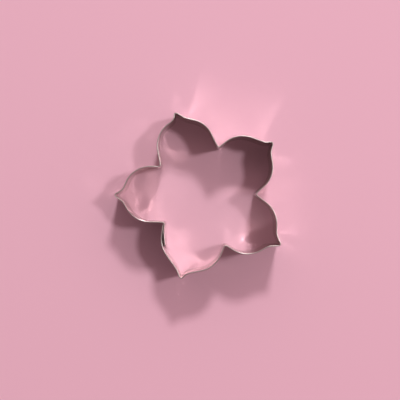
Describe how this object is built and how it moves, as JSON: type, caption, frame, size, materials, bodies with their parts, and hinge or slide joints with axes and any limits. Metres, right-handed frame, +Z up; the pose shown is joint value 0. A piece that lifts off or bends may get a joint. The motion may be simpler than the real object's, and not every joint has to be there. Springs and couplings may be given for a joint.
{
  "type": "flower-shaped strip cutter",
  "caption": "Open flower-shaped cutter of bent metal strip, with pointed petals, a bevelled cutting edge and a lapped, spot-welded seam.",
  "frame": {"origin": "under the middle of the outline, in the plane that the cutting edge rests on", "axes": "+Z up from the cutting edge to the rim, +X and +Y level, +X through the right of the pictured view from above"},
  "size_m": [0.0712, 0.071, 0.02],
  "materials": {
    "bright_strip": "bright cold-rolled stainless strip, lightly scratched",
    "weld_metal": "fused steel"
  },
  "bodies": {
    "root": {"cutter_strip": "bright_strip", "spot_welds": "weld_metal"}
  },
  "joints": []
}
